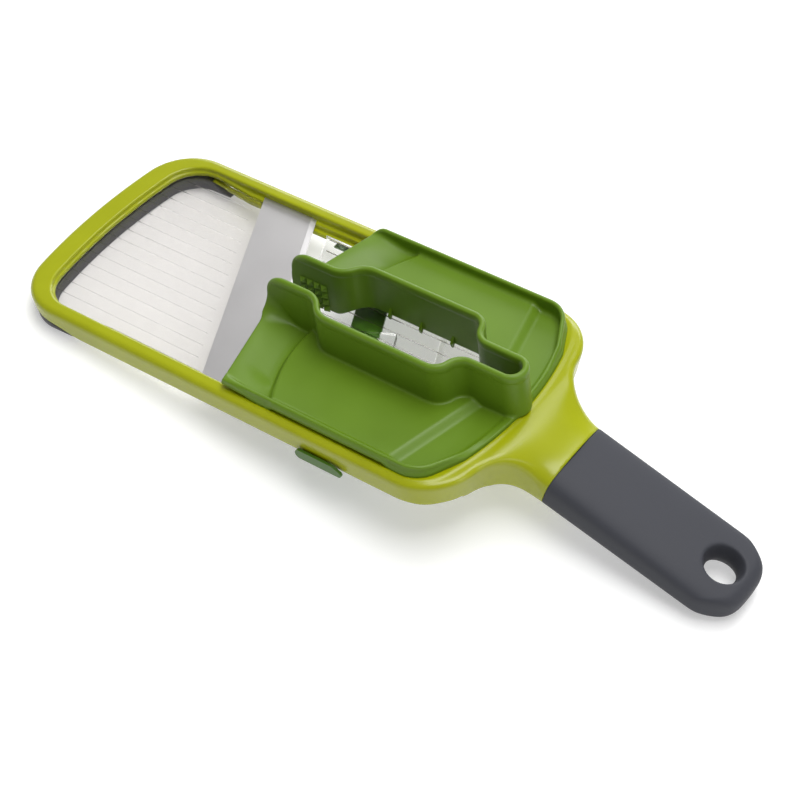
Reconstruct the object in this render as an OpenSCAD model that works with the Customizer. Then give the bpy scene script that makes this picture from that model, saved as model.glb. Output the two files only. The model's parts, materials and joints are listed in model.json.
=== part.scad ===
// Hand-held mandoline slicer resting on its front foot and the end of its handle.
// The bed is drawn level, with X from the front rim towards the handle, Z = 0 on top of the rim and
// the origin at the middle of the front rim's inner edge. place() then tips it into its resting pose.

/* [Frame] */
// Half the width of the opening in the frame
open_half_w = 53.5; // [50:0.5:57]
// Half the outer width of the frame
rim_half_w = 60.5; // [59.5:0.5:62]
// Width of the rim across the front
front_rim_w = 9.6; // [8:0.2:11]
// Depth of the frame from the top of the rim to the edge of its skirt
frame_depth = 12.5; // [12:0.5:14]
// Length of the opening along the middle
open_len = 234; // [233:1:237]
// Radius of the curved front of the opening
front_r = 266.5; // [250:1:290]

/* [Handle] */
// Angle by which the handle drops away from the bed
handle_drop = 18.1; // [15:0.1:21]
// Length of the soft grip along its axis
grip_len = 92.3; // [85:0.1:100]
// Half the width of the grip where it meets the frame
grip_half_w = 20.8; // [19:0.1:23]
// Half the thickness of the grip where it meets the frame
grip_half_t = 11.3; // [10:0.1:12]
// Radius of the hole for hanging
hang_r = 6.7; // [6:0.1:7.5]

/* [Blade and bed] */
// Angle of the blade from square across the bed
blade_skew = 25.7; // [22:0.1:29]
// Width of the blade from its back to its cutting edge
blade_w = 28; // [26:0.5:30]
// Thickness of the blade
blade_t = 0.6; // [0.5:0.1:0.8]
// Gap for slices between the cutting edge and the ramp
throat_w = 6.6; // [5.5:0.1:7.5]
// Number of grooves in the front deck
groove_count = 14; // [8:1:16]
// Thickness of slice at rest
slice_t = 1.1; // [0.9:0.1:1.2]

/* [Food guard] */
// Height of the guard's walls above the rim
guard_h = 25; // [20:1:30]
// Half the width of the guard over its wings
guard_half_w = 55.6; // [55:0.2:56.5]
// Thickness of the guard's walls
guard_wall = 2.7; // [2.2:0.1:3]

/* [Hidden] */
$fn = 64;
eps = 0.01;

// Levels, all measured from the top of the rim
blade_z = -4.0;          // underside of the blade
lip_w = 2;               // lip at the foot of the opening's wall, level with the blade's underside
deck_z = blade_z - 0.45; // top of the front deck
deck_t = 2.2;
ledge_z = deck_z - deck_t - 0.05;
ledge_t = 2.5;
under_z = ledge_z - ledge_t; // underside of the solid part of the rim
ramp_z = blade_z - slice_t + 0.1;
ramp_t = 2.2;
foot_z = -frame_depth - 1.1;
skirt_t = 2.1;

// Corners of the frame's outline
corner_in_r = 17.7;
corner_out_r = 26;
rear_in_r = 138;
rear_corner_in_r = 14;
rear_corner = [212.6, 34];
rear_corner_r = rim_half_w - rear_corner.y;
neck_r = 21;
boundary = [259.3, -20.1]; // where the grip's axis starts, in the plane y = 0
arc_step = 6;              // degrees between the points of an arc

// Skewed frame of the blade: its origin is the middle of the blade's back edge
skew_x = 78;
pivot_u = 100;             // from the blade's back edge to the ramp's pivot
bar_u = 64;                // to the adjuster's cam at rest
bar_w = 14.4;
cam_top = under_z - 0.3;
ramp_ratio = 0.0024;     // ramp tilt in radians for each mm of the adjuster's travel
pivot_r = 1.5;
pivot_z = ramp_z - ramp_t - 1.6;
pad_gap = 0.15;
bar_t = 1.3;
bar_z = under_z - 2.3;     // underside of the adjuster bar
tab_x = 169;
tab_len = 24.5;
shelf_x = 212;            // front edge of the floor behind the ramp

// Resting pose, found from the foot's rear edge and the round end of the grip
foot_contact = [3, foot_z];
end_r = 8;
end_top = 7.8;  // the grip's top and underside at its end, from its axis
end_low = -9.4;
end_c = [boundary.x + (grip_len - end_r) * cos(handle_drop) + (end_low + end_r) * sin(handle_drop),
    boundary.y - (grip_len - end_r) * sin(handle_drop) + (end_low + end_r) * cos(handle_drop)];
span = end_c - foot_contact;
pitch = asin(end_r / norm(span)) + atan(-span.y / span.x);
lift = -(foot_contact.x * sin(pitch) + foot_contact.y * cos(pitch));
centre_x = 170.692;

// ---------- helpers ----------
module place() translate([-centre_x, 0, lift]) rotate([0, -pitch, 0]) children();
module both() { children(); mirror([0, 1, 0]) children(); }
module in_handle() translate([boundary.x, 0, boundary.y]) rotate([0, handle_drop, 0]) children();
module in_skew() translate([skew_x, 0, 0]) rotate([0, 0, blade_skew]) children();
module slab(z0, z1) translate([0, 0, z0]) linear_extrude(z1 - z0) children();
module side_cut(y0, y1) translate([0, y1, 0]) rotate([90, 0, 0]) linear_extrude(y1 - y0) children();
function arc(c, r, a0, a1) = let(n = max(2, ceil(abs(a1 - a0) / arc_step)))
    [for (i = [0:n]) c + r * [cos(a0 + (a1 - a0) * i / n), sin(a0 + (a1 - a0) * i / n)]];
function flip(p) = [for (i = [len(p) - 1:-1:0]) [p[i].x, -p[i].y]];
function mirror_x(half) = concat(half, flip(half));
// Half an outline's front: a shallow arc that runs into a corner of radius rc and a side at y = w
function front_half(apex, rf, w, rc) = let(c = [apex + rf, 0], yc = w - rc,
    dx = sqrt(pow(rf - rc, 2) - yc * yc), a = atan2(yc, dx))
    concat([for (i = [0:8]) c + rf * [-cos(a * i / 8), sin(a * i / 8)]],
        arc([c.x - dx, yc], rc, 180 - a, 90));
// Half a rear end: the same kind of corner, then a shallow arc to the middle
function rear_half(apex, rr, w, rc) = let(c = [apex - rr, 0], yc = w - rc,
    dx = sqrt(pow(rr - rc, 2) - yc * yc), a = atan2(yc, dx))
    concat(arc([c.x + dx, yc], rc, 90, a), [for (i = [8:-1:0]) c + rr * [cos(a * i / 8), sin(a * i / 8)]]);

// ---------- outlines ----------
// Opening of the frame, shrunk by d
module opening(d = 0) polygon(mirror_x(concat(
    front_half(d, front_r - d, open_half_w - d, corner_in_r - d),
    rear_half(open_len - d, rear_in_r - d, open_half_w - d, rear_corner_in_r - d))));
// Outside of the frame with its neck, shrunk by d
neck_c = [rear_corner.x + sqrt(pow(rear_corner_r + neck_r, 2) - pow(grip_half_w + neck_r - rear_corner.y, 2)),
    grip_half_w + neck_r];
neck_a = atan2(neck_c.y - rear_corner.y, neck_c.x - rear_corner.x);
module outside(d = 0) polygon(mirror_x(concat(
    front_half(d - front_rim_w, front_r + front_rim_w - d, rim_half_w - d, corner_out_r - d),
    arc(rear_corner, rear_corner_r - d, 90, neck_a),
    arc(neck_c, neck_r + d, 180 + neck_a, 270),
    [[280, grip_half_w - d]])));
function superellipse(a, b, n) = [for (t = [0:7.5:352.5])
    [a * sign(cos(t)) * pow(abs(cos(t)), 2 / n), b * sign(sin(t)) * pow(abs(sin(t)), 2 / n)]];

// ---------- frame ----------
// Side view of the frame and its neck
function ease(t) = t * t * (3 - 2 * t);
neck_top = [for (i = [0:6]) [240 + 24 * i / 6, -9.5 * ease(i / 6)]];
neck_low = [for (i = [6:-1:0]) [208 + 48 * i / 6, -frame_depth - 19.8 * ease(i / 6)]];
module neck_side() polygon(concat([[208, 0]], neck_top, [[280, -14], [280, -40]], neck_low));
module foot_gap() polygon(concat([[-20, -20], [-20, under_z]],
    [for (i = [0:8]) [14 + 24 * i / 8, under_z - (frame_depth + under_z) * ease(i / 8)]], [[38, -20]]));
module grip_section(a, b) rotate([90, 0, 90]) linear_extrude(240, center = true)
    polygon(superellipse(a, b, 2.7));

module screw(len) {
    cylinder(r = 2.2, h = 1.2);
    translate([0, 0, eps]) cylinder(r = 1.1, h = len);
}
clamp_x = [for (s = [-1, 1]) [for (u = [7, 21])
    skew_x + u * cos(blade_skew) - s * 51.4 * tan(blade_skew) + 3]];
rail_x = [[100.5, 152.5], [150.5, 203]]; // first and last screw of the far and the near rail
rail_half = 4.5;
module clamp_spots(y) for (i = [0, 1]) translate([clamp_x[y > 0 ? 1 : 0][i], y, 0]) children();
module rail_spots(far) for (x = rail_x[far ? 0 : 1]) translate([x, far ? 52.4 : -52.4, 0]) children();

module body_frame() color("yellowgreen") place() difference() {
    union() {
        difference() {
            slab(under_z, -1.6) outside(0.2);
            slab(under_z - 1, 1) opening();
            slab(-40, 1) translate([232, -100]) square([60, 200]);
        }
        difference() {
            slab(-1.6 - eps, 0) outside(1.6);
            slab(under_z - 1, 1) opening();
            slab(-40, 1) translate([232, -100]) square([60, 200]);
        }
        // lip round the opening, and the ledge under it that the deck lies on
        difference() {
            slab(under_z, blade_z) opening(-eps);
            slab(-20, 1) opening(lip_w);
        }
        difference() {
            slab(under_z, ledge_z) opening(lip_w - eps);
            slab(-20, 1) opening(lip_w + 2);
        }
        // skirt
        difference() {
            slab(-frame_depth, under_z + eps) outside(0.8);
            slab(-20, 1) outside(0.8 + skirt_t);
            slab(-40, 1) translate([222, -100]) square([60, 200]);
        }
        // floor behind the ramp
        slab(under_z, ledge_z) intersection() {
            opening(lip_w - eps);
            translate([shelf_x, -60]) square([40, 120]);
        }
        // neck
        intersection() {
            slab(-40, 0) outside(0.2);
            side_cut(-70, 70) neck_side();
            union() {
                slab(-frame_depth, 1) translate([222, -70]) square([40, 140]);
                in_handle() grip_section(grip_half_w + 2, grip_half_t);
            }
            in_handle() translate([-100, -70, -60]) cube([100, 140, 120]);
            difference() {
                slab(-40, 1) translate([222, -70]) square([76, 140]);
                slab(under_z + eps, 2) opening();
                slab(-40, under_z + 2 * eps) translate([200, -49]) square([28, 98]);
            }
        }
        // tongue inside the grip
        in_handle() translate([-12, -13, -5.5]) cube([76, 26, 11]);
    }
    // slots for the ends of the blade
    intersection() {
        in_skew() translate([-0.05, -80, blade_z - 0.05]) cube([blade_w + 0.1, 160, blade_t + 0.1]);
        slab(-6, 0) translate([0, -55.6]) square([200, 111.2]);
    }
    // pockets for the blade's clamps
    for (s = [-1, 1]) clamp_block(s, 0.1);
    // room for the foot
    side_cut(-70, 70) foot_gap();
    // holes for the screws and the pivot pin
    for (x = rail_x[0]) translate([x, 52.4, bar_z - 1]) cylinder(r = 1.1, h = 8.2);
    for (x = rail_x[1]) translate([x, -52.4, bar_z - 1]) cylinder(r = 1.1, h = 8.2);
    pivot_line(118, 0.02);
}

// ---------- deck, blade and their fixings ----------
module front_of_blade(u) in_skew() translate([u - 200, -150, -30]) cube([200, 300, 60]);
module front_deck() color("whitesmoke", 0.6) place() difference() {
    intersection() {
        slab(ledge_z + 0.05, deck_z) opening(lip_w + 0.15);
        front_of_blade(12);
    }
    for (s = [-1, 1]) clamp_block(s, 0.1);
    for (i = [0:groove_count - 1])
        intersection() {
            translate([4, 44.3 - 6.82 * i - 0.25, deck_z - 0.35]) cube([200, 0.5, 1]);
            front_of_blade(-4.5);
            slab(-20, 20) opening(lip_w + 1.5);
        }
}

module foot_shape() difference() {
    outside(0.3);
    translate([2, 0]) opening(2.6);
    translate([38, -100]) square([300, 200]);
}
module front_foot() color("dimgray") place() difference() {
    intersection() {
        slab(foot_z, under_z) foot_shape();
        side_cut(-70, 70) foot_gap();
    }
    translate([foot_contact.x, -100, foot_contact.y]) rotate([0, pitch, 0])
        translate([-100, 0, -20]) cube([200, 200, 20]);
    slab(-30, -frame_depth) translate([15, -100]) square([100, 200]);
}

module slicing_blade() color("silver") place() intersection() {
    in_skew() difference() {
        translate([0, -80, blade_z]) cube([blade_w, 160, blade_t]);
        translate([blade_w, 0, blade_z]) rotate([90, 0, 0]) linear_extrude(200, center = true)
            polygon([[-2.6, blade_t + eps], [1, blade_t + eps], [1, 0.1], [0, 0.1]]);
    }
    slab(-10, 0) translate([0, -55.5]) square([200, 111]);
}

// A block under one end of the blade, with s the side it is on
module clamp_block(s, grow) {
    x0 = clamp_x[s > 0 ? 1 : 0][0];
    x1 = clamp_x[s > 0 ? 1 : 0][1];
    translate([x0 - 4 - grow, s > 0 ? 47.6 - grow : -55.2 - grow, under_z - 0.6])
        cube([x1 - x0 + 8 + 2 * grow, 7.6 + 2 * grow, deck_z - under_z + 0.6]);
}
module blade_clamp(s) color("yellowgreen") place() difference() {
    clamp_block(s, 0);
    clamp_spots(s * 51.4) translate([0, 0, under_z - 1]) cylinder(r = 1.1, h = 10);
}
module near_blade_clamp() blade_clamp(-1);
module far_blade_clamp() blade_clamp(1);
module blade_clamp_screws() color("gray") place() for (s = [-1, 1])
    clamp_spots(s * 51.4) translate([0, 0, under_z - 1.8]) screw(6.2);

// ---------- adjuster ----------
module slide_rail(far) {
    xs = rail_x[far ? 0 : 1];
    y = far ? 52.4 : -52.4;
    color("olivedrab") place() difference() {
        union() {
            translate([xs[0] - rail_half, y - 3.4, -frame_depth])
                cube([xs[1] - xs[0] + 2 * rail_half, 6.8, 0.8]);
            for (x = xs) translate([x, y, -frame_depth]) cylinder(r = 3.4, h = frame_depth + under_z);
        }
        for (x = xs) translate([x, y, -frame_depth - 1]) cylinder(r = 1.1, h = 8);
    }
}
module near_slide_rail() slide_rail(false);
module far_slide_rail() slide_rail(true);
module slide_rail_screws() color("gray") place() for (far = [false, true])
    rail_spots(far) translate([0, 0, -frame_depth - 1.2]) screw(7);

end_x = [for (y = [-52.4, 52.4]) skew_x + bar_u / cos(blade_skew) - y * tan(blade_skew)];
end_len = 24;
module adjuster_bar() color("darkgreen") place() {
    intersection() {
        in_skew() {
            translate([bar_u - bar_w / 2, -90, bar_z]) cube([bar_w, 180, bar_t]);
            for (v = cam_v) translate([bar_u, v, cam_top - 1.6]) rotate([90, 0, 0])
                cylinder(r = 1.6, h = 9, center = true);
        }
        slab(-20, 0) translate([0, -54]) square([300, 108]);
    }
    for (i = [0, 1]) translate([end_x[i] - end_len / 2, i == 0 ? -55.4 : 49.6, bar_z])
        cube([end_len, 5.8, under_z - 0.2 - bar_z]);
}
// The tab hangs outside the skirt, on a stem that passes under the skirt and the rail
tab_out = 61.8;
tab_in = 60.45;
tab_top = -8.8;
tab_t = 4.8;
tab_start = 161.5;
stem_t = 1;
stem_in = 46;
module adjuster_tab() color("forestgreen") place() {
    translate([tab_start, -tab_in, tab_top - tab_t]) rotate([90, 0, 0]) linear_extrude(tab_out - tab_in)
        polygon(concat(arc([tab_t / 2, tab_t / 2], tab_t / 2, 270, 90), [[tab_len - 5, tab_t]],
            arc([tab_len - 1.6, 1.6], 1.6, 60, -90)));
    translate([tab_x - 6, -tab_in - eps, tab_top - tab_t]) cube([12, tab_in - stem_in, stem_t]);
    translate([tab_x - 6, -stem_in - 2.4, tab_top - tab_t]) cube([12, 2.4, bar_z - tab_top + tab_t]);
}
spring_gap = 0.02;
spring_t = 0.4;
spring_h = 0.8;
spring_z = bar_z + bar_t + 0.05;
module detent_spring() color("silver") place() {
    translate([end_x[0] - 9, -49.6 + spring_gap, spring_z]) cube([18, spring_t, spring_h]);
    for (x = [-9, 8]) translate([end_x[0] + x, -49.6 + spring_gap, spring_z])
        cube([1, 3 * spring_t, spring_h]);
}

// ---------- ramp ----------
knuckle_v = [-86, -48, -10];
cam_v = [-66, -31, 4];
module slicing_ramp() color("whitesmoke", 0.6) place() difference() {
    union() {
        intersection() {
            in_skew() translate([blade_w + throat_w, -90, ramp_z - ramp_t])
                cube([200, 180, ramp_t]);
            slab(-20, 0) polygon(mirror_x([[70, 48.6], [206, 48.6], [210, 44.6]]));
        }
        in_skew() {
            for (v = knuckle_v) {
                translate([pivot_u, v, pivot_z]) rotate([90, 0, 0]) cylinder(r = 3.1, h = 9, center = true);
                translate([pivot_u - 3.1, v - 4.5, pivot_z]) cube([6.2, 9, ramp_z - ramp_t + eps - pivot_z]);
            }
            // wedges that ride on the adjuster's cams
            for (v = cam_v) translate([0, v + 9, 0]) rotate([90, 0, 0]) linear_extrude(18)
                polygon(concat([[79, ramp_z - ramp_t + eps], [55, ramp_z - ramp_t + eps]],
                    [for (u = [55:4:79]) [u, cam_top + pad_gap
                        - (pivot_u - u) * ramp_ratio * (u - bar_u) / cos(blade_skew)]]));
        }
    }
    in_skew() for (v = knuckle_v) translate([pivot_u, v, pivot_z]) rotate([90, 0, 0])
        cylinder(r = pivot_r + 0.06, h = 12, center = true);
}
pivot_mid = skew_x + pivot_u / cos(blade_skew);
cap_z = pivot_z - pivot_r - 1.2;
module ramp_pivot_pin() color("silver") place() intersection() {
    pivot_line(160);
    slab(-20, 0) translate([0, -53]) square([300, 106]);
}
module pivot_line(len, grow = 0) in_skew() translate([pivot_u, -pivot_u * tan(blade_skew), pivot_z])
    rotate([90, 0, 0]) cylinder(r = pivot_r + grow, h = len, center = true);
module pivot_pin_caps() color("yellowgreen") place() difference() {
    for (s = [-1, 1]) translate([pivot_mid - s * 51.4 * tan(blade_skew) - 6, s > 0 ? 49.7 : -53.2, cap_z])
        cube([12, 3.5, under_z - cap_z]);
    pivot_line(160, 0.02);
}

// ---------- food guard ----------
// Heights of the guard's parts above the rim
wing_low = 1.3;
wing_top = 3.5;
flange_low = 3.2;
flange_top = 8.1;      // of the far wing; the near wing has a lower edge
near_flange_top = 5.9;
flange_r = 5;          // how far the edge rounds down at its front end
front_low = -2.7;
jaw_gap = 7.3;   // half the gap between the jaws at the mouth
belly = 16.3;    // half the gap in the middle
tail = 4.7;      // half the gap at the tail
hinge_x = 229.5; // where each side bends from the loop
mouth_x = 108;
// Line of one side of the slot, from the mouth to the tail
function bend(x0, x1, y0, y1) = [for (i = [0:6]) [x0 + (x1 - x0) * i / 6, y0 + (y1 - y0) * ease(i / 6)]];
function slot_line(d) = concat([[mouth_x, jaw_gap + d]], bend(131, 149, jaw_gap + d, belly + d),
    bend(201, 216, belly + d, tail + d), [[hinge_x, tail + d]]);
module wall_plan() polygon(concat(slot_line(0), [for (p = slot_line(guard_wall))
    slot_line(guard_wall)[len(slot_line(guard_wall)) - 1 - search([p], slot_line(guard_wall))[0]]]));

front_edge = [109.5, 17.3, 0.25];  // x and y of the wing's inner front corner, and its slope
function front_x(y) = front_edge[0] + (y - front_edge[1]) * front_edge[2];
crease_x = 24;
module wing_plan(d = 0) polygon(concat(
    [for (p = slot_line(guard_wall / 2)) if (p.x > mouth_x + 1) p],
    [[234, tail + guard_wall / 2 + 1], [236, 10]],
    [for (a = [6:3:18]) [236.5 - 138 + (138 - d) * cos(a), (138 - d) * sin(a)]],
    arc([215, guard_half_w - 12 - d], 12, 50, 90),
    [[front_x(guard_half_w) + d, guard_half_w - d], [front_x(front_edge[1]) + d, front_edge[1]],
    [mouth_x + 1, jaw_gap + guard_wall]]));
// Side view of the wing's panels: a front that dips, and a rear behind a raised band
module wing_front() polygon([[100, 5], [134, -0.4], [137, wing_top], [180, wing_top], [180, wing_low],
    [138, wing_low], [135, -2.2], [100, 2.9]]);
module wing_rear() polygon([[165, wing_top], [205, wing_top], [208, 4.6], [213, 4.6], [218, 1.6], [245, 1.6],
    [245, 0.4], [216, 0.4], [212, wing_low], [165, wing_low]]);
module lean(slope, y) multmatrix([[1, slope, 0, -slope * y], [0, 1, 0, 0], [0, 0, 1, 0]]) children();
// Side view of a wall: a front that curves back to the top, and a foot that is deeper at the mouth
module wall_side() polygon(concat(arc([119, 13.5], 11.5, 180, 90), [[240, guard_h], [240, wing_low],
    [141, wing_low], [133, front_low], [108.5, front_low]]));
// Far side of the guard; the near side is its mirror image with a lower edge
module guard_side(top) {
    intersection() {
        slab(-5, 9) difference() {
            wing_plan();
            translate([hinge_x, 0]) square([232 - hinge_x, tail + guard_wall + 0.3]);
            translate([232, 0]) circle(r = tail + guard_wall + 0.3);
        }
        union() {
            lean(front_edge[2], 17) side_cut(0, 53.4) wing_front();
            lean(-0.35, 7) side_cut(0, 53) wing_rear();
        }
    }
    // turned-up edge, set back where it meets the panel
    difference() {
        union() {
            slab(wing_low, flange_low) wing_plan(1.1);
            intersection() {
                slab(flange_low - eps, top) wing_plan();
                side_cut(0, 60) polygon(concat([[100, 0], [300, 0], [300, top]],
                    arc([front_x(guard_half_w) + flange_r, top - flange_r], flange_r, 90, 180)));
            }
        }
        slab(0, 9) union() {
            wing_plan(2.2);
            square([300, 17]);
            translate([222, 0]) square([50, 48]);
        }
    }
    intersection() {
        slab(front_low, guard_h) wall_plan();
        side_cut(0, 40) wall_side();
    }
    // guide rib that runs inside the rim
    translate([146, 51.4, -1.2]) cube([60, 1.5, wing_low + 1.3]);
}
module far_guard_wing() color("olivedrab") place() guard_side(flange_top);
module near_guard_wing() color("olivedrab") place() mirror([0, 1, 0]) guard_side(near_flange_top);
module guard_spring_loop() color("olivedrab") place() slab(0.6, guard_h) difference() {
    union() {
        translate([232, 0]) circle(r = tail + guard_wall);
        translate([hinge_x + 0.3, -tail - guard_wall]) square([232 - hinge_x, 2 * (tail + guard_wall)]);
    }
    translate([200, -20]) square([hinge_x + 0.3 - 200, 40]);
    translate([232, 0]) circle(r = tail);
    translate([hinge_x - 1, -tail]) square([3, 2 * tail]);
}

// Pyramids on the jaws and saw teeth under the belly of the slot
tooth_pitch = 3.9;
tooth_half = 1.7;
tooth_h = 1.9;
tooth_top = 10.7;
saw_pitch = 16.8;
module grip_teeth() {
    for (i = [0:3], j = [0:3])
        translate([114.5 + tooth_pitch * i, jaw_gap, tooth_top - tooth_pitch * j]) rotate([90, 0, 0])
            linear_extrude(tooth_h, scale = 0.1) square(2 * tooth_half, center = true);
    for (i = [0:2]) translate([155 + saw_pitch * i, belly - 2, 0.4]) rotate([90, 0, 90]) linear_extrude(1.2)
        polygon([[0.6, 0], [2, 1.6], [2, 5.4], [0, 2.4]]);
}
module far_grip_teeth() color("olivedrab") place() grip_teeth();
module near_grip_teeth() color("olivedrab") place() mirror([0, 1, 0]) grip_teeth();

// ---------- grip ----------
hang_x = 75.8;        // from the frame, along the grip
hang_straight = 3;    // half the length of the hole's straight middle
hang_flare = 2.9;     // how much the hole widens towards each face
grip_corner_r = 16;
module grip_plan() polygon(mirror_x(concat([[0, grip_half_w]],
    arc([grip_len - grip_corner_r, grip_half_w + 0.2 - grip_corner_r], grip_corner_r, 90, 25),
    [[grip_len, 0]])));
module grip_side() polygon(concat([[0, -grip_half_t]],
    arc([grip_len - end_r, end_low + end_r], end_r, -90, 0),
    arc([grip_len - end_r, end_top - end_r], end_r, 0, 90),
    [[0, grip_half_t]]));
module handle_grip() color("darkslategray") place() in_handle() difference() {
    intersection() {
        translate([0, 0, -20]) linear_extrude(40) grip_plan();
        side_cut(-40, 40) grip_side();
        grip_section(grip_half_w + 0.4, grip_half_t);
    }
    // room for the frame's tongue
    translate([-1, -13, -5.5]) cube([65, 26, 11]);
    translate([hang_x, 0, 0]) {
        cylinder(r = hang_r, h = 60, center = true);
        translate([0, 0, hang_straight])
            cylinder(r1 = hang_r, r2 = hang_r + hang_flare, h = end_top + 1 - hang_straight);
        translate([0, 0, end_low - 1])
            cylinder(r1 = hang_r + hang_flare, r2 = hang_r, h = 1 - end_low - hang_straight);
    }
}

body_frame();
front_deck();
front_foot();
slicing_blade();
near_blade_clamp();
far_blade_clamp();
blade_clamp_screws();
handle_grip();
near_slide_rail();
far_slide_rail();
slide_rail_screws();
ramp_pivot_pin();
pivot_pin_caps();
slicing_ramp();
adjuster_bar();
adjuster_tab();
detent_spring();
guard_spring_loop();
near_guard_wing();
far_guard_wing();
near_grip_teeth();
far_grip_teeth();
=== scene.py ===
"""Hand-held mandoline slicer: detailed pieces, materials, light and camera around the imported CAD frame.

Shapes are worked out in the bed frame, in millimetres: X from the front rim to the handle, Y across the bed
and Z = 0 on top of the rim. to_row() puts them in the row frame, in metres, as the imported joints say.
Moulded pieces are signed distance fields, meshed by surface_net() with every vertex pulled on to the surface.
"""

import json
import math

import bmesh
import bpy
import numpy as np
from mathutils import Matrix, Vector


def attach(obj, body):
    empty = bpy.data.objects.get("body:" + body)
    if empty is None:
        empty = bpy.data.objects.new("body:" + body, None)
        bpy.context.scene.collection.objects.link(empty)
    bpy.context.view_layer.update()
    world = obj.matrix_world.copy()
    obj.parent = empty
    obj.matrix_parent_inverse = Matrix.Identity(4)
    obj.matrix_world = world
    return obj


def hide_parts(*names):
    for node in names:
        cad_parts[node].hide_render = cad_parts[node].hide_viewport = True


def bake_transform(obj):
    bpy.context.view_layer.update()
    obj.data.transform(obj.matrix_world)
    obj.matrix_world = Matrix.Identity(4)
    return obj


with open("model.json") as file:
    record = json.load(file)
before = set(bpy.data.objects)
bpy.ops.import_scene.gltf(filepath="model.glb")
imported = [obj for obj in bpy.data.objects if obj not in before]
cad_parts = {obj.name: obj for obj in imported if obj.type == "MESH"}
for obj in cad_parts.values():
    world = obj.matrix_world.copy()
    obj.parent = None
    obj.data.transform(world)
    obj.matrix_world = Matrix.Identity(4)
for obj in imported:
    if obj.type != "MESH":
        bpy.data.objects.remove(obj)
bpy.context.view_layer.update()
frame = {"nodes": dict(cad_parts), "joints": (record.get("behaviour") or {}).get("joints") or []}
JOINTS = {j["name"]: j for j in frame["joints"]}
MM = 0.001

# ---------- the bed frame ----------
LOOP_X = 232.0                              # bed x of the guard's hinge line
SLIDE = JOINTS["guard_slide"]["axis"]
PITCH = math.atan2(SLIDE[2], SLIDE[0])
BED = np.array([[math.cos(PITCH), 0, math.sin(PITCH)], [0, 1, 0], [-math.sin(PITCH), 0, math.cos(PITCH)]])
START = np.array(JOINTS["near_jaw_flex"]["pos_m"]) - LOOP_X * MM * BED[0]


def to_row(points):
    return START + MM * (np.asarray(points, float) @ BED)


# ---------- driving sizes, mm ----------
# the opening, and the frame's outline round it
OPEN_W, OPEN_LEN, FRONT_R, CORNER_IN = 53.5, 234.0, 266.5, 17.7
RIM_W, FRONT_RIM, CORNER_OUT = 60.3, 9.4, 25.8
REAR_R, REAR_CORNER_IN = 138.0, 14.0
REAR_C, REAR_CR, NECK_R = (212.6, 34.0), 26.3, 21.2
# the frame's section: its depth, the lip that holds the deck, and the foot band's seat
DEPTH, LIP_Z, LIP_W, LEDGE_Z, UNDER_Z, FOOT_TOP = 12.4, -4.0, 2.0, -6.7, -9.2, -6.9
FRONT_LIP_Z, FRONT_LIP_W, FRONT_EDGE, GROOVE_IN = -2.3, 1.0, 2.5, -0.7
DRAFT, DRAFT_FROM, SKIRT = 0.09, -2.0, 2.9    # how much the sides lean in, from which height, and their thickness
BEAD, BEAD_AT = 0.45, 3.5                     # height of the rim's bead, and its distance from the opening
FLOOR_FROM, HOLLOW_TO = 212, 224              # where the floor behind the ramp starts, and where the hollow ends
TOP_START, TOP_TURN, TOP_END = 239, 240, 262.8   # where the top bends down, rounds off, and reaches the grip
LOW_START, LOW_TURN, LOW_END = 219, 224, 255.8   # the same for the underside
FOOT_Z, FOOT_FLAT, FOOT_END = -13.6, 3.0, 38  # the foot band's lowest height, where it starts to rise, its end
DECK_Z = -4.45
# the grip: where its axis meets the frame, how it drops, its half width and half thickness, how far its end
# reaches above and below its axis, and its two corner radii
BOUND = (259.3, -20.1)
DROP = math.radians(18.1)
GRIP_W, GRIP_T, GRIP_LEN, GRIP_POWER = 20.8, 11.3, 92.3, 2.7
GRIP_HIGH_END, GRIP_LOW_END, GRIP_WIDENS = 7.8, 9.4, 0.2
GRIP_CORNER, GRIP_EDGE, HANG_R, HANG_X = 15.5, 8, 7.0, 75.8
# the skewed blade
SKEW = math.radians(25.7)
SKEW_X, BLADE_W, THROAT = 78.0, 28.0, 6.6


# ---------- field helpers ----------
def smax(a, b, k):
    h = np.maximum(k - np.abs(a - b), 0) / k
    return np.maximum(a, b) + h * h * k / 4


def smin(a, b, k):
    return -smax(-a, -b, k)


def ease(t):
    t = np.clip(t, 0, 1)
    return t * t * (3 - 2 * t)


def rounded(p, q, r):
    """Distance to a corner of radius r, from how far a point is past the corner's centre each way."""
    return np.sqrt(np.maximum(p, 0) ** 2 + np.maximum(q, 0) ** 2) + np.minimum(np.maximum(p, q), 0) - r


def arc(c, r, a0, a1, n=16):
    angles = [math.radians(a0 + (a1 - a0) * i / n) for i in range(n + 1)]
    return [(round(c[0] + r * math.cos(a), 9), round(c[1] + r * math.sin(a), 9)) for a in angles]


def mirrored(half):
    return half + [(x, -y) for x, y in reversed(half)]


def front_half(apex, rf, w, rc):
    """A shallow front arc that runs into a corner of radius rc and a side at y = w."""
    cx, yc = apex + rf, w - rc
    dx = math.sqrt((rf - rc) ** 2 - yc * yc)
    a = math.degrees(math.atan2(yc, dx))
    return arc((cx, 0), rf, 180, 180 - a, 24) + arc((cx - dx, yc), rc, 180 - a, 90)


def rear_half(apex, rr, w, rc):
    cx, yc = apex - rr, w - rc
    dx = math.sqrt((rr - rc) ** 2 - yc * yc)
    a = math.degrees(math.atan2(yc, dx))
    return arc((cx + dx, yc), rc, 90, a) + arc((cx, 0), rr, a, 0, 20)


def segments(points, closed):
    p = np.asarray(points, float)
    q = np.roll(p, -1, 0) if closed else p[1:]
    return [(a, b) for a, b in zip(p if closed else p[:-1], q) if np.hypot(*(b - a)) > 1e-6]


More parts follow.
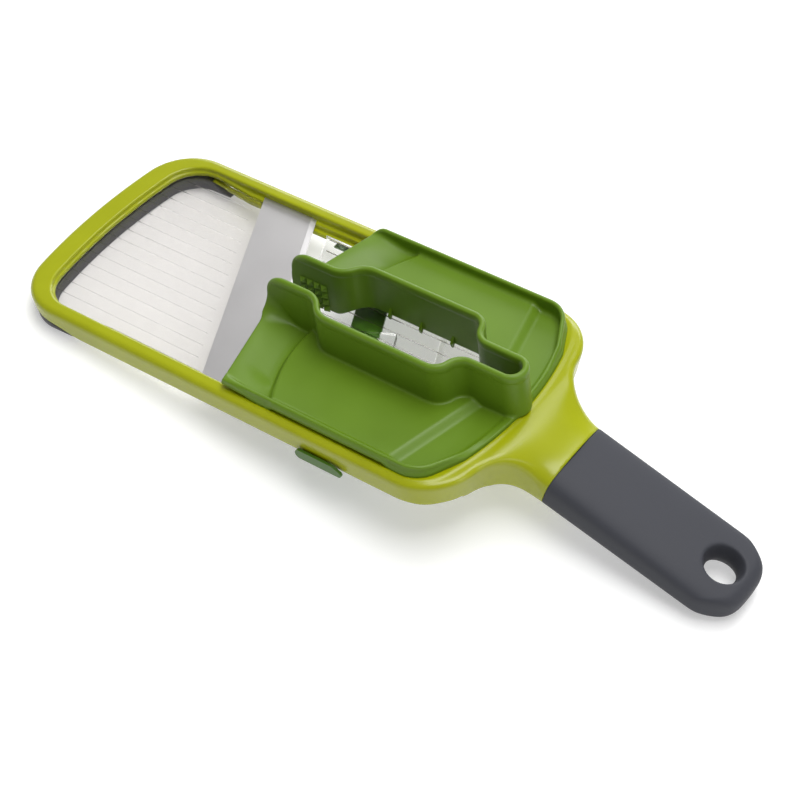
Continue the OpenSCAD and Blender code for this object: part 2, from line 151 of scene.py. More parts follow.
def polygon_field(points):
    """Signed distance to a polygon in plan, negative inside."""
    sides = segments(points, True)

    def field(x, y):
        best, inside = np.full(np.broadcast(x, y).shape, 1e9), np.zeros(np.broadcast(x, y).shape, bool)
        for a, b in sides:
            e, px, py = b - a, x - a[0], y - a[1]
            t = np.clip((px * e[0] + py * e[1]) / (e @ e), 0, 1)
            best = np.minimum(best, (px - t * e[0]) ** 2 + (py - t * e[1]) ** 2)
            if a[1] != b[1]:
                inside ^= ((a[1] > y) != (b[1] > y)) & (x < a[0] + (y - a[1]) * e[0] / e[1])
        return np.where(inside, -1, 1) * np.sqrt(best)
    return field


def line_field(points):
    """Distance to an open line in plan, and which side of it: positive to the left."""
    sides = segments(points, False)

    def field(x, y):
        best, side = np.full(np.broadcast(x, y).shape, 1e9), np.zeros(np.broadcast(x, y).shape)
        for a, b in sides:
            e, px, py = b - a, x - a[0], y - a[1]
            t = np.clip((px * e[0] + py * e[1]) / (e @ e), 0, 1)
            d = (px - t * e[0]) ** 2 + (py - t * e[1]) ** 2
            s = np.sign(e[0] * py - e[1] * px) + 0 * d
            side = np.where(d < best, s, side)
            best = np.minimum(best, d)
        return np.sqrt(best), side
    return field


def surface_net(field, low, high, cell, pulls=4):
    """Vertices and quads of the surface where field is 0, one vertex for each cell that it crosses."""
    x, y, z = (np.arange(a, b + cell, cell) for a, b in zip(low, high))
    value = np.array(np.broadcast_to(field(x[:, None, None], y[None, :, None], z[None, None, :]),
                                     (len(x), len(y), len(z))), np.float32)
    inside = value < 0
    n = np.array(value.shape) - 1
    total, count = np.zeros((3, n.prod())), np.zeros(n.prod())
    quads = []
    for axis in range(3):
        b, c = (axis + 1) % 3, (axis + 2) % 3
        lo, hi = [slice(None)] * 3, [slice(None)] * 3
        lo[axis], hi[axis] = slice(0, -1), slice(1, None)
        at = np.argwhere(inside[tuple(lo)] != inside[tuple(hi)])
        at = at[(at[:, b] > 0) & (at[:, c] > 0) & (at[:, b] < n[b]) & (at[:, c] < n[c])]
        step = np.eye(3, dtype=int)
        f0, f1 = value[tuple(at.T)], value[tuple((at + step[axis]).T)]
        where = at + step[axis] * (f0 / (f0 - f1))[:, None]
        cells = [np.ravel_multi_index((at - p * step[b] - q * step[c]).T, n)
                 for p, q in ((1, 1), (0, 1), (0, 0), (1, 0))]
        for k in cells:
            count += np.bincount(k, minlength=len(count))
            for i in range(3):
                total[i] += np.bincount(k, where[:, i], len(count))
        q = np.stack(cells, 1)
        quads.append(np.where(inside[tuple(at.T)][:, None], q, q[:, ::-1]))
    quads = np.concatenate(quads)
    used = np.unique(quads)
    index = np.zeros(len(count), int)
    index[used] = np.arange(len(used))
    v = (total[:, used] / count[used]).T * cell + np.array(low)
    nudge = 0.02
    for _ in range(pulls):
        f = field(*v.T)
        g = np.stack([field(*(v + nudge * s).T) - f for s in np.eye(3)], 1) / nudge
        move = -(f / np.maximum((g * g).sum(1), 0.2))[:, None] * g
        size = np.linalg.norm(move, axis=1, keepdims=True)
        v += move * np.minimum(1, 0.5 * cell / np.maximum(size, 1e-9))
    return v, index[quads]


def mesh_object(name, vertices, faces, material, smooth=True):
    """An object from bed-frame vertices and faces that already point outwards."""
    mesh = bpy.data.meshes.new(name)
    mesh.from_pydata(to_row(vertices).tolist(), [], [list(f) for f in faces])
    mesh.polygons.foreach_set("use_smooth", [smooth] * len(mesh.polygons))
    mesh.materials.append(material)
    mesh.update()
    obj = bpy.data.objects.new(name, mesh)
    bpy.context.scene.collection.objects.link(obj)
    return obj


def half_mesh(vertices, faces):
    """What lies at y >= 0, cut cleanly on the middle plane."""
    bm = bmesh.new()
    made = [bm.verts.new(p) for p in vertices]
    for f in faces:
        bm.faces.new([made[i] for i in f])
    bmesh.ops.bisect_plane(bm, geom=bm.verts[:] + bm.edges[:] + bm.faces[:], dist=1e-4,
                           plane_co=(0, 0, 0), plane_no=(0, 1, 0), clear_inner=True)
    bm.verts.index_update()
    v = np.array([p.co for p in bm.verts])
    f = [[p.index for p in face.verts] for face in bm.faces]
    bm.free()
    return v, f


def both_halves(vertices, faces):
    """A half and its mirror image, joined on the middle plane."""
    v, f = half_mesh(vertices, faces)
    middle = np.abs(v[:, 1]) < 1e-3
    v[middle, 1] = 0
    other = np.arange(len(v)) + len(v)
    other[middle] = np.arange(len(v))[middle]
    keep = np.concatenate([np.arange(len(v)), np.arange(len(v))[~middle] + len(v)])
    index = np.zeros(2 * len(v), int)
    index[keep] = np.arange(len(keep))
    every = np.concatenate([v, v * (1, -1, 1)])[keep]
    return every, f + [[int(index[other[i]]) for i in reversed(face)] for face in f]


# ---------- materials ----------
def material(name, colour, rough, bump=0.0, bump_scale=900.0, mottle=0.05, rough_mottle=0.06, metal=0.0,
             specular=0.5):
    """A moulded or metal surface: fine colour and gloss variation, and a fine grain."""
    m = bpy.data.materials.new(name)
    m.use_nodes = True
    t = m.node_tree
    shader = t.nodes["Principled BSDF"]
    place = t.nodes.new("ShaderNodeTexCoord")
    cloud = t.nodes.new("ShaderNodeTexNoise")
    cloud.inputs["Scale"].default_value = 38.0
    cloud.inputs["Detail"].default_value = 4.0
    t.links.new(place.outputs["Object"], cloud.inputs["Vector"])
    ramp = t.nodes.new("ShaderNodeValToRGB")
    for i, k in enumerate((1 - mottle, 1 + mottle)):
        ramp.color_ramp.elements[i].color = (*[min(1, c * k) for c in colour], 1)
        ramp.color_ramp.elements[i].position = (0.3, 0.7)[i]
    t.links.new(cloud.outputs["Fac"], ramp.inputs["Fac"])
    t.links.new(ramp.outputs["Color"], shader.inputs["Base Color"])
    gloss = t.nodes.new("ShaderNodeMapRange")
    gloss.inputs["To Min"].default_value = rough - rough_mottle
    gloss.inputs["To Max"].default_value = rough + rough_mottle
    t.links.new(cloud.outputs["Fac"], gloss.inputs["Value"])
    t.links.new(gloss.outputs["Result"], shader.inputs["Roughness"])
    shader.inputs["Metallic"].default_value = metal
    shader.inputs["Specular IOR Level"].default_value = specular
    if bump:
        grain = t.nodes.new("ShaderNodeTexNoise")
        grain.inputs["Scale"].default_value = bump_scale
        grain.inputs["Detail"].default_value = 2.0
        t.links.new(place.outputs["Object"], grain.inputs["Vector"])
        lift = t.nodes.new("ShaderNodeBump")
        lift.inputs["Strength"].default_value = bump
        lift.inputs["Distance"].default_value = 0.0002
        t.links.new(grain.outputs["Fac"], lift.inputs["Height"])
        t.links.new(lift.outputs["Normal"], shader.inputs["Normal"])
    return m


def brushed(name, colour, rough, along):
    """Ground steel: fine scratches stretched along one row-frame direction."""
    m = material(name, colour, rough, metal=1.0, mottle=0.03, rough_mottle=0.03)
    t = m.node_tree
    shader = t.nodes["Principled BSDF"]
    place = t.nodes.new("ShaderNodeTexCoord")
    stretch = t.nodes.new("ShaderNodeMapping")
    stretch.inputs["Scale"].default_value = (12, 2600, 2600)
    scratch = t.nodes.new("ShaderNodeTexNoise")
    scratch.inputs["Scale"].default_value = 1.0
    scratch.inputs["Detail"].default_value = 3.0
    lift = t.nodes.new("ShaderNodeBump")
    lift.inputs["Strength"].default_value = 0.12
    lift.inputs["Distance"].default_value = 0.0001
    spin = t.nodes.new("ShaderNodeVectorRotate")
    spin.rotation_type = "Z_AXIS"
    spin.inputs["Angle"].default_value = -math.atan2(along[1], along[0])
    t.links.new(place.outputs["Object"], spin.inputs["Vector"])
    t.links.new(spin.outputs["Vector"], stretch.inputs["Vector"])
    t.links.new(stretch.outputs["Vector"], scratch.inputs["Vector"])
    t.links.new(scratch.outputs["Fac"], lift.inputs["Height"])
    t.links.new(lift.outputs["Normal"], shader.inputs["Normal"])
    return m


def clear(name, tint, rough, shade=0.93):
    """Clear moulded plastic that lets lamps through."""
    m = material(name, tint, rough, mottle=0.01, rough_mottle=0.015)
    t = m.node_tree
    shader = t.nodes["Principled BSDF"]
    shader.inputs["Transmission Weight"].default_value = 1.0
    shader.inputs["IOR"].default_value = 1.45
    see = t.nodes.new("ShaderNodeBsdfTransparent")
    see.inputs["Color"].default_value = (shade, shade, shade, 1)
    path = t.nodes.new("ShaderNodeLightPath")
    mix = t.nodes.new("ShaderNodeMixShader")
    t.links.new(path.outputs["Is Shadow Ray"], mix.inputs["Fac"])
    t.links.new(shader.outputs["BSDF"], mix.inputs[1])
    t.links.new(see.outputs["BSDF"], mix.inputs[2])
    t.links.new(mix.outputs["Shader"], t.nodes["Material Output"].inputs["Surface"])
    return m


LIME = material("lime_plastic", (0.315, 0.345, 0.002), 0.24, bump=0.02, bump_scale=1400, specular=0.42)
GREEN = material("green_plastic", (0.108, 0.202, 0.006), 0.42, bump=0.05, bump_scale=1600, specular=0.36)
DARK_GREEN = material("dark_green_plastic", (0.045, 0.125, 0.006), 0.36, bump=0.04, bump_scale=1500)
GREY = material("grey_soft_touch", (0.044, 0.046, 0.056), 0.62, bump=0.22, bump_scale=2600, mottle=0.04,
                specular=0.30)
# a lighter copy of the grip's grey for the foot band: painted light for the foot's lit inner wall and the deck's
# reflection over it
FOOT_PAINTED_LIGHTER_GREY = material("painted_lighter_foot_grey", (0.072, 0.072, 0.080), 0.60, bump=0.22, bump_scale=2600, mottle=0.04,
                     specular=0.35)
STEEL = brushed("blade_steel", (0.54, 0.53, 0.53), 0.42, (-math.sin(SKEW), math.cos(SKEW)))
SMALL_STEEL = material("plain_steel", (0.55, 0.55, 0.54), 0.28, metal=1.0, bump=0.05)
# its tint is darker than clear plastic's: partly the plastic's own absorption, partly painted shade for the
# shadowed floor under the deck
CLEAR = clear("clear_plastic", (0.70, 0.685, 0.67), 0.04, shade=0.69)
# clear plastic with a much darker tint, put on the groove faces: painted shade for the dark lines the grooves
# show
CLEAR_GROOVE_SHADE = clear("clear_painted_groove_shade", (0.34, 0.33, 0.32), 0.12, shade=0.69)
# the same clear plastic with a lighter tint than the deck's: painted light that brightens the ramp in the guard's
# shadow
RAMP_PAINTED_LIGHT_CLEAR = clear("clear_painted_light_ramp", (0.93, 0.93, 0.92), 0.08)

# ---------- frame ----------
opening = polygon_field(mirrored(front_half(FRONT_EDGE, FRONT_R - FRONT_EDGE, OPEN_W, CORNER_IN)
                                 + rear_half(OPEN_LEN, REAR_R, OPEN_W, REAR_CORNER_IN)))
neck_y = GRIP_W + NECK_R
neck_c = (REAR_C[0] + math.sqrt((REAR_CR + NECK_R) ** 2 - (neck_y - REAR_C[1]) ** 2), neck_y)
neck_a = math.degrees(math.atan2(neck_c[1] - REAR_C[1], neck_c[0] - REAR_C[0]))
OUTLINE = (front_half(-FRONT_RIM, FRONT_R + FRONT_RIM, RIM_W, CORNER_OUT) + arc(REAR_C, REAR_CR, 90, neck_a)
           + arc(neck_c, NECK_R, 180 + neck_a, 270) + [(300, GRIP_W)])
outside = polygon_field(mirrored(OUTLINE))
SLOPE = -math.tan(DROP)
HALF_T = GRIP_T / math.cos(DROP)


def hermite(x, x0, x1, z0, z1, s0, s1):
    """A curve from (x0, z0) with slope s0 to (x1, z1) with slope s1, straight beyond."""
    t, w = np.clip((x - x0) / (x1 - x0), 0, 1), x1 - x0
    z = ((2 * t**3 - 3 * t**2 + 1) * z0 + (t**3 - 2 * t**2 + t) * w * s0
         + (3 * t**2 - 2 * t**3) * z1 + (t**3 - t**2) * w * s1)
    return z + s0 * np.minimum(x - x0, 0) + s1 * np.maximum(x - x1, 0)


def half_width(x):
    """Half the width of the outline beside the neck."""
    rise = NECK_R - np.sqrt(np.maximum(NECK_R**2 - np.minimum(x - neck_c[0], 0) ** 2, 0))
    return GRIP_W + rise


def roundness(y, w):
    r = np.clip(np.abs(y) / w, 0, 1)
    return 1 - (1 - r**GRIP_POWER) ** (1 / GRIP_POWER)


def rim_top(u, x):
    """Height of the rim u from the opening: a soft inner edge, and a low bead around the guard."""
    bead = BEAD * np.exp(-((u - BEAD_AT) / 1.0) ** 2) * ease((x - 112) / 40)
    return bead - 0.2 * np.clip(1 - u / 1.2, 0, 1) ** 2


def behind_front(x):
    """0 along the front rim and 1 along the sides, for the lip that holds the deck."""
    return ease((x - 24) / 24)


def lip_width(x):
    return FRONT_LIP_W + (LIP_W - FRONT_LIP_W) * behind_front(x)


def groove_in(x):
    """How far inside the opening's outline the deck's groove ends. In front it is below 0, under the rim."""
    return GROOVE_IN + (lip_width(x) - GROOVE_IN) * ease((x - 21) / 12)


def behind_foot(x):
    """0 over the foot band and 1 behind it, where the frame has its whole depth."""
    return ease((x - 14) / 22)


def foot_seat(x):
    """Height of the frame's underside over the foot band."""
    return UNDER_Z - (DEPTH + UNDER_Z) * behind_foot(x)


def frame_field(x, y, z):
    d_out, d_in = outside(x, y), opening(x, y)
    turn = ease((x - TOP_TURN) / (TOP_END - TOP_TURN))
    round_off = HALF_T * roundness(y, half_width(x))
    top = (hermite(x, TOP_START, TOP_END, 0, BOUND[1] + SLOPE * (TOP_END - BOUND[0]) + HALF_T, 0, SLOPE)
           + (1 - turn) * rim_top(np.maximum(d_in, 0), x) - turn * round_off)
    low = (hermite(x, LOW_START, LOW_END, -DEPTH, BOUND[1] + SLOPE * (LOW_END - BOUND[0]) - HALF_T, 0, SLOPE)
           + ease((x - LOW_TURN) / 30) * round_off)
    low = np.where(x < 60, foot_seat(x), low)
    taper = (DRAFT + 0.16 * ease((x - 221) / 10)) * np.maximum(DRAFT_FROM - z, 0) * (1 - turn)
    body = smax(smax(d_out + taper, z - top, 3.4), low - z, 1.6)
    # cut out: the opening down to the lip, the hole inside the lip, the groove for the deck, the way through in
    # front of the floor, and the hollow under the rim
    lip_z = FRONT_LIP_Z + (LIP_Z - FRONT_LIP_Z) * behind_front(x)
    lip_w = lip_width(x)
    wall = smax(d_in, lip_z - z, 0.5)
    lip = smax(d_in + lip_w, LEDGE_Z - z, 0.3)
    groove = np.maximum(d_in + groove_in(x), np.maximum(z - DECK_Z - 0.08, LEDGE_Z - z))
    through = np.maximum(d_in + 2 * lip_w, x - FLOOR_FROM)
    hollow_z = FOOT_TOP + (UNDER_Z - FOOT_TOP) * behind_foot(x)
    hollow = smax(np.maximum(d_out + SKIRT, x - HOLLOW_TO), z - hollow_z, 0.4)
    cut = np.minimum(np.minimum(np.minimum(wall, lip), np.minimum(through, hollow)), groove)
    body = smax(body, -cut, 0.7)
    # end face, square to the grip's axis
    along = (x - BOUND[0]) * math.cos(DROP) - (z - BOUND[1]) * math.sin(DROP)
    return smax(body, along, 0.35)


FRAME_CELL = 0.72
v, f = surface_net(frame_field, (-11, -2, -34), (270, 62, 2), FRAME_CELL)
v, f = both_halves(v, f)
body = mesh_object("frame_moulding", v, f, LIME)
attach(body, "frame")
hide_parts("body_frame")


# ---------- front foot ----------
def foot_field(x, y, z):
    d_out = outside(x, y)
    inner = opening(x + 2.5, y) + 2.6
    floor_z = FOOT_Z - (x - FOOT_FLAT) * math.tan(PITCH)
    taper = DRAFT * np.maximum(DRAFT_FROM - z, 0)
    top = foot_seat(x) - 0.12
    inside_top = FOOT_TOP - 0.1 - (DEPTH + FOOT_TOP) * behind_foot(x)
    top = np.where(d_out < -SKIRT - 0.2, np.maximum(top, inside_top), top)
    bottom = np.where(x < FOOT_FLAT, floor_z, FOOT_Z - (FOOT_Z + DEPTH) * ease((x - FOOT_FLAT) / 30))
    band = smax(smax(smax(d_out + taper + 0.25, -inner, 0.5), bottom - z, 0.9), z - top, 0.3)
    return smax(band, x - FOOT_END, 0.4)


SMALL_CELL = 0.6
v, f = surface_net(foot_field, (-11, -2, -15), (40, 62, -6), SMALL_CELL)
v, f = both_halves(v, f)
foot = mesh_object("front_foot_band", v, f, FOOT_PAINTED_LIGHTER_GREY)
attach(foot, "frame")
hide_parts("front_foot")


# ---------- grip ----------
def grip_field(x, y, z):
    """In the grip's own frame: x along it from the neck. It thins towards a round end."""
    t = np.clip(x / GRIP_LEN, 0, 1)
    high, low = GRIP_T + (GRIP_HIGH_END - GRIP_T) * t, GRIP_T + (GRIP_LOW_END - GRIP_T) * t
    w, middle, thick = GRIP_W + GRIP_WIDENS * t, (high - low) / 2, (high + low) / 2
    ry, rz = np.abs(y) / w, np.abs(z - middle) / thick
    tube = ((ry**GRIP_POWER + rz**GRIP_POWER + 1e-9) ** (1 / GRIP_POWER) - 1) * thick
    plan = rounded(x - (GRIP_LEN - GRIP_CORNER) + 0.012 * y * y, np.abs(y) - (w - GRIP_CORNER), GRIP_CORNER)
    side = rounded(x - (GRIP_LEN - GRIP_EDGE), np.abs(z - middle) - (thick - GRIP_EDGE), GRIP_EDGE)
    solid = smax(smax(tube, plan, 1.5 + 3.5 * ease((x - GRIP_LEN + 18) / 12)), side, 4.0)
    flare = np.where(z > 0, 2.7, 3.6) * np.clip(np.abs(z) / 8.2, 0, 1.3) ** 1.6
    hole = (HANG_R + flare - np.sqrt((x - HANG_X) ** 2 + y**2)) * 0.9
    return smax(smax(solid, hole, 0.9), -x, 0.3)


v, f = surface_net(grip_field, (-1, -2, -13), (94, 24, 13), SMALL_CELL)
v, f = both_halves(v, f)
c, s = math.cos(DROP), math.sin(DROP)
v = np.stack([BOUND[0] + v[:, 0] * c + v[:, 2] * s, v[:, 1], BOUND[1] - v[:, 0] * s + v[:, 2] * c], 1)
grip = mesh_object("soft_grip", v, f, GREY)
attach(grip, "frame")
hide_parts("handle_grip")

# ---------- food guard ----------
# the wall: its thickness, the half widths of its middle line at the tail, mouth and belly, its height, and
# where its round front is
WALL, TAIL_Y, MOUTH_Y, BELLY_Y = 2.7, 6.05, 8.65, 17.65
GUARD_H, NOSE_X, NOSE_R = 25.0, 107.5, 11.5
# the wings: half width, underside and thickness of the turned-up edge, and thickness of the panel
GUARD_W, EDGE_LOW, EDGE_T, PANEL_T = 55.6, 2.4, 2.2, 2.1
# the panel: where its slanted front edge and its crease lie, and its heights at the front, in the middle and
# how much lower it is at the rear
FRONT_X, FRONT_Y, FRONT_SLOPE, CREASE_X = 109.5, 17.3, 0.25, 129.4
PANEL_FRONT_Z, PANEL_Z, STEP_DOWN = 4.9, 3.5, 2.5


def bend(x0, x1, y0, y1, n=9):
    """Two equal arcs that carry a straight line sideways from y0 to y1."""
    run, rise = x1 - x0, abs(y1 - y0)
    r, turn, way = (run**2 + rise**2) / (4 * rise), 2 * math.atan(rise / run), math.copysign(1, y1 - y0)
    steps = [(r * math.sin(turn * i / n), way * r * (1 - math.cos(turn * i / n))) for i in range(n + 1)]
    return [(x0 + dx, y0 + dy) for dx, dy in steps] + [(x1 - dx, y1 - dy) for dx, dy in reversed(steps[:-1])]


slot_line = line_field([(98, MOUTH_Y)] + bend(131, 149, MOUTH_Y, BELLY_Y) + bend(201, 216, BELLY_Y, TAIL_Y)
                       + arc((LOOP_X, 0), TAIL_Y, 90, -30, 20))
WING_REAR = arc((213.5, GUARD_W - 13.5), 13.5, 90, 30, 12) + arc((98.5, 0), REAR_R, 15, -3, 14)
wing_outline = polygon_field([(FRONT_X - (FRONT_Y + 3) * FRONT_SLOPE, -3),
                              (FRONT_X + (GUARD_W - FRONT_Y) * FRONT_SLOPE, GUARD_W)] + WING_REAR)
edge_outline = polygon_field([(20, -3), (20, GUARD_W)] + WING_REAR)


def guard_side(edge_top):
    """One half of the guard, with the height of its turned-up edge."""
    def field(x, y, z):
        d, side = slot_line(x, y)
        across = d * side                                    # positive on the slot's outer side
        plan, rim = wing_outline(x, y), edge_outline(x, y)
        front_x = FRONT_X + FRONT_SLOPE * (y - FRONT_Y)
        crease_x = CREASE_X + 0.0083 * np.maximum(y - 15, 0) ** 2
        # panel: a front that dips to a crease, a step up to a flat middle, and a step down to the rear
        t = (x - front_x) / (crease_x - front_x)
        dip = 1.6 * ease((y - 40) / 9) - 0.2
        top = np.where(x < crease_x, PANEL_FRONT_Z - (PANEL_FRONT_Z - dip) * ease(t),
                       dip + (PANEL_Z - dip) * ease((x - crease_x) / 3.6))
        top = top - STEP_DOWN * ease((x + 0.25 * (y - 30) - 210.5) / 5.5) + 0.5 * ease((x - 222) / 14)
        panel = smax(smax(z - top, top - PANEL_T - z, 0.6), plan, 0.7)
        within = smax(opening(x, y) + 0.45, z - 0.3, 0.3)
        panel = smax(panel, np.minimum(within, 0.1 - z), 0.3)
        # turned-up edge, rounded down at its front end
        front = np.clip(1 - (x - front_x) / 6, 0, 1)
        height = edge_top - (edge_top - 3.0) * (1 - np.sqrt(1 - front**2)) - 2.2 * ease((x - 218) / 16)
        height = height - 2.0 * ease((x - 229) / 5)
        edge_low = np.clip(top - 1.0, BEAD, EDGE_LOW)
        edge = smax(smax(np.abs(rim + EDGE_T / 2) - EDGE_T / 2, z - height, 1.4), edge_low - z, 0.5)
        edge = smax(smax(edge, plan, 0.5), 6 - y, 0.5)
        wing = smin(panel, edge, 2.4)
        wing = smax(wing, -across - 0.2, 0.4)
        # wall with a thicker rounded top, a round front and a foot that is deeper at the mouth
        thick = WALL / 2 + 0.25 * ease((z - 20.5) / 1.2)
        front_cut = rounded(NOSE_X + NOSE_R - x, z - (GUARD_H - NOSE_R), NOSE_R)
        foot = 1.4 - 3.6 * (1 - ease((x - 131) / 10)) - 0.8 * ease((x - 222) / 8)
        wall = smax(smax(d - thick, front_cut, 2.2), foot - z, 0.8)
        solid = smin(wall, wing, 1.3 + 8.5 * ease((124 - x) / 14))
        solid = smax(solid, -(across + thick), 0.5)
        solid = smax(solid, NOSE_X - 0.1 - x, 0.8)
        # rib under the wing, which runs along the inside of the opening
        rib = smax(np.maximum(np.abs(y - 52.15) - 0.75, np.abs(x - 176) - 30), np.abs(z - 0.9) - 2.1, 0.3)
        return np.minimum(solid, rib)
    return field


GUARD_CELL = 0.5
# each moulding bends round the loop; the near one is meshed from the same field with a lower edge, then mirrored
for jaw, sign, high, nodes in (("far_jaw", 1, 8.3, ["far_guard_wing"]),
                               ("near_jaw", -1, 5.7, ["near_guard_wing", "guard_spring_loop"])):
    v, f = half_mesh(*surface_net(guard_side(high), (101, -1.5, -4), (241, 58, 27), GUARD_CELL))
    faces = f if sign > 0 else [list(reversed(face)) for face in f]
    half = mesh_object(jaw.replace("jaw", "guard_moulding"), v * (1, sign, 1), faces, GREEN)
    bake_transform(half)
    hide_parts(*nodes)

# ---------- clear front deck ----------
DECK_T, GROOVES, GROOVE_PITCH, GROOVE_HALF, GROOVE_DEEP = 2.2, 14, 6.82, 0.25, 0.06
FIRST_GROOVE, DECK_GAP, UNDER_BLADE = 44.3, 0.25, 12      # the deck runs on under the blade
GROOVE_ENDS = (-5.5, -4.5)                                # a groove rises to the deck's face between these
SKEW_DIR = Vector((math.cos(SKEW), math.sin(SKEW), 0))


def skew_u(p):
    """Distance behind the line of the blade's front edge."""
    return (p[0] - SKEW_X) * SKEW_DIR.x + p[1] * SKEW_DIR.y


inset = GROOVE_IN + 0.1
plate = (front_half(FRONT_EDGE + inset, FRONT_R - FRONT_EDGE - inset, OPEN_W - inset, CORNER_IN - inset)
         + [(x, OPEN_W - DECK_GAP - float(groove_in(x))) for x in (*range(24, 51, 2), 150)])
bm = bmesh.new()
bm.faces.new([bm.verts.new((x, y, DECK_Z)) for x, y in reversed(mirrored(plate))])
cuts = [(Vector((0, FIRST_GROOVE - GROOVE_PITCH * i + k * GROOVE_HALF, 0)), Vector((0, 1, 0)), False)
        for i in range(GROOVES) for k in (-1, 0, 1)]
cuts += [(Vector((SKEW_X, 0, 0)) + u * SKEW_DIR, SKEW_DIR, clear_it) for u, clear_it in
         ((UNDER_BLADE, True), (GROOVE_ENDS[1], False), (GROOVE_ENDS[0], False))]
for place, normal, clear_it in cuts:
    bmesh.ops.bisect_plane(bm, geom=bm.verts[:] + bm.edges[:] + bm.faces[:], dist=1e-5, plane_co=place,
                           plane_no=normal, clear_outer=clear_it)
bmesh.ops.recalc_face_normals(bm, faces=bm.faces[:])
top = bm.faces[:]
under = bmesh.ops.extrude_face_region(bm, geom=top)
for p in [g for g in under["geom"] if isinstance(g, bmesh.types.BMVert)]:
    p.co.z -= DECK_T
bm.normal_update()
sunk = set()
for p in bm.verts:
    row_of = (FIRST_GROOVE - p.co.y) / GROOVE_PITCH
    on_line = abs(row_of - round(row_of)) * GROOVE_PITCH < 1e-3 and -0.5 < row_of < GROOVES - 0.5
    if p.co.z > DECK_Z - 0.1 and on_line and skew_u(p.co) < GROOVE_ENDS[0] + 0.1:
        sunk.add(p)
for p in sunk:
    p.co.z -= GROOVE_DEEP
# faces at the bottom of a groove take the second, darker material: painted shade along the grooves
for face in bm.faces:
    face.material_index = int(any(p in sunk for p in face.verts) and abs(face.normal.z) > 0.5)
bmesh.ops.recalc_face_normals(bm, faces=bm.faces[:])
bm.verts.index_update()
deck = mesh_object("grooved_deck", [p.co[:] for p in bm.verts],
                   [[p.index for p in q.verts] for q in bm.faces], CLEAR, smooth=False)
deck.data.materials.append(CLEAR_GROOVE_SHADE)
deck.data.polygons.foreach_set("material_index", [q.material_index for q in bm.faces])
bm.free()
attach(deck, "frame")
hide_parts("front_deck")

# ---------- ridges along the clear ramp ----------
RAMP_Z, RAMP_END, RIDGE_PITCH, RIDGES_EACH_SIDE = -5.0, 203.0, 6.7, 7
RIDGE_FOOT, RIDGE_TOP = (0.36, 0, -0.05), (0.10, 0.8, 0.16)   # half width, how much shorter, rise
ridge_v, ridge_f = [], []
for i in range(-RIDGES_EACH_SIDE, RIDGES_EACH_SIDE + 1):
    y = i * RIDGE_PITCH
    x0 = SKEW_X + (BLADE_W + THROAT - y * SKEW_DIR.y) / SKEW_DIR.x + 2
    k = len(ridge_v)
    for half_w, trim, rise in (RIDGE_FOOT, RIDGE_TOP):
        z = RAMP_Z + rise
        ridge_v += [(x0 + trim, y - half_w, z), (RAMP_END - trim, y - half_w, z),
                    (RAMP_END - trim, y + half_w, z), (x0 + trim, y + half_w, z)]
    ridge_f += [[k + 3, k + 2, k + 1, k], [k + 4, k + 5, k + 6, k + 7]]
    ridge_f += [[k + a, k + (a + 1) % 4, k + 4 + (a + 1) % 4, k + 4 + a] for a in range(4)]
ridges = mesh_object("ramp_ridges", ridge_v, ridge_f, CLEAR, smooth=False)
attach(ridges, "ramp")

# ---------- CAD nodes that keep their shape ----------
for node, mat in {"slicing_blade": STEEL, "slicing_ramp": RAMP_PAINTED_LIGHT_CLEAR, "near_blade_clamp": LIME,
                  "far_blade_clamp": LIME, "blade_clamp_screws": SMALL_STEEL, "near_slide_rail": DARK_GREEN,
                  "far_slide_rail": DARK_GREEN, "slide_rail_screws": SMALL_STEEL, "ramp_pivot_pin": RAMP_PAINTED_LIGHT_CLEAR,
                  "pivot_pin_caps": LIME, "adjuster_bar": DARK_GREEN, "adjuster_tab": DARK_GREEN,
                  "detent_spring": SMALL_STEEL, "near_grip_teeth": GREEN, "far_grip_teeth": GREEN}.items():
    o = frame["nodes"][node]
    o.data.materials.clear()
    o.data.materials.append(mat)

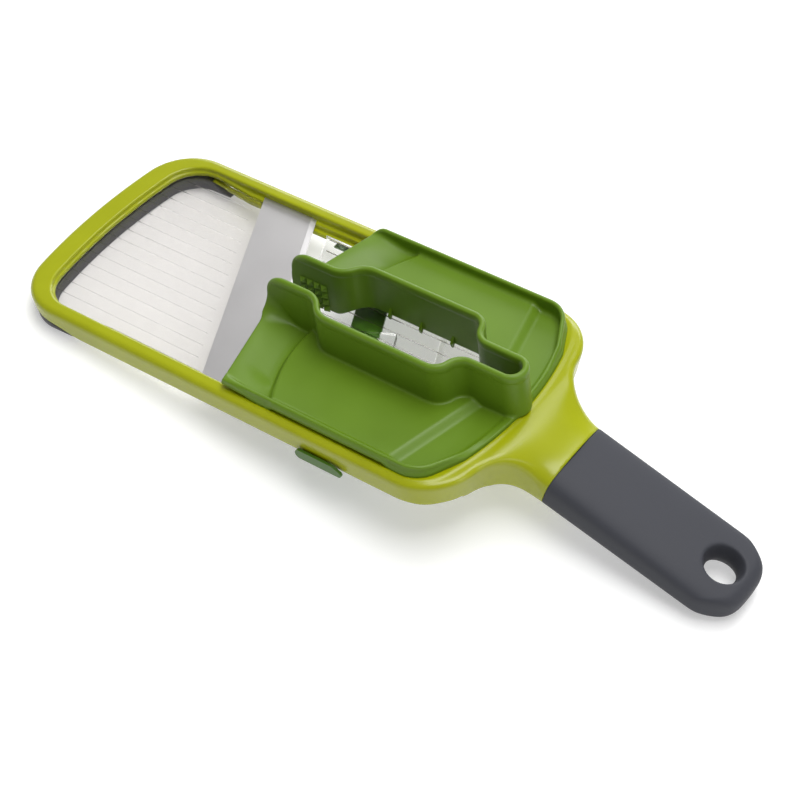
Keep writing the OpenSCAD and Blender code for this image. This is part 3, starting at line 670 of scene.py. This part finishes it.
# ---------- floor, light, camera ----------
FLOOR = 3.0
bpy.ops.mesh.primitive_plane_add(size=2 * FLOOR, location=(0, 0, -0.0002))
floor = bpy.context.object
floor.name = "floor"
paper = material("pale_floor", (0.70, 0.70, 0.70), 0.9, mottle=0.004, rough_mottle=0.02)
floor.data.materials.append(paper)
glow = paper.node_tree.nodes["Principled BSDF"]
glow.inputs["Emission Color"].default_value = (1, 1, 1, 1)
glow.inputs["Emission Strength"].default_value = 0.38


def area_light(name, place, size, power):
    """A white softbox that points at the object."""
    lamp = bpy.data.lights.new(name, "AREA")
    lamp.shape, lamp.size, lamp.size_y, lamp.energy = "RECTANGLE", size[0], size[1], power
    obj = bpy.data.objects.new(name, lamp)
    obj.location = place
    obj.rotation_euler = (-Vector(place)).to_track_quat("-Z", "Y").to_euler()
    bpy.context.scene.collection.objects.link(obj)


area_light("top_softbox", (0.15, 0.15, 1.7), (1.3, 1.0), 24)
area_light("high_softbox", (-0.1, 0.8, 1.35), (0.9, 0.7), 5)
area_light("back_softbox", (-0.8, 1.9, 0.75), (1.8, 0.7), 20)
area_light("right_strip", (1.7, -0.1, 0.9), (0.4, 0.9), 4)
world = bpy.data.worlds.new("studio")
world.use_nodes = True
sky = world.node_tree.nodes["Background"]
sky.inputs["Color"].default_value = (1, 1, 1, 1)
sky.inputs["Strength"].default_value = 0.30
bpy.context.scene.world = world
bpy.context.scene.view_settings.view_transform = "Standard"

CAM_AZIMUTH, CAM_ELEVATION, CAM_ROLL = (math.radians(a) for a in (36.252, 50.002, 0.489))
CAM_TARGET, CAM_DISTANCE, CAM_LENS = Vector((0.01638, -0.02189, 0.03656)), 0.93066, 99.48
back = Vector((math.sin(CAM_AZIMUTH) * math.cos(CAM_ELEVATION),
               -math.cos(CAM_AZIMUTH) * math.cos(CAM_ELEVATION), math.sin(CAM_ELEVATION)))
right = Vector((math.cos(CAM_AZIMUTH), math.sin(CAM_AZIMUTH), 0))
up = back.cross(right)
level = Matrix((right, up, back)).transposed()
camera = bpy.data.cameras.new("camera")
camera.lens = CAM_LENS
eye = bpy.data.objects.new("camera", camera)
eye.matrix_world = (Matrix.Translation(CAM_TARGET + CAM_DISTANCE * back) @ level.to_4x4()
                    @ Matrix.Rotation(CAM_ROLL, 4, "Z"))
bpy.context.scene.collection.objects.link(eye)
bpy.context.scene.camera = eye
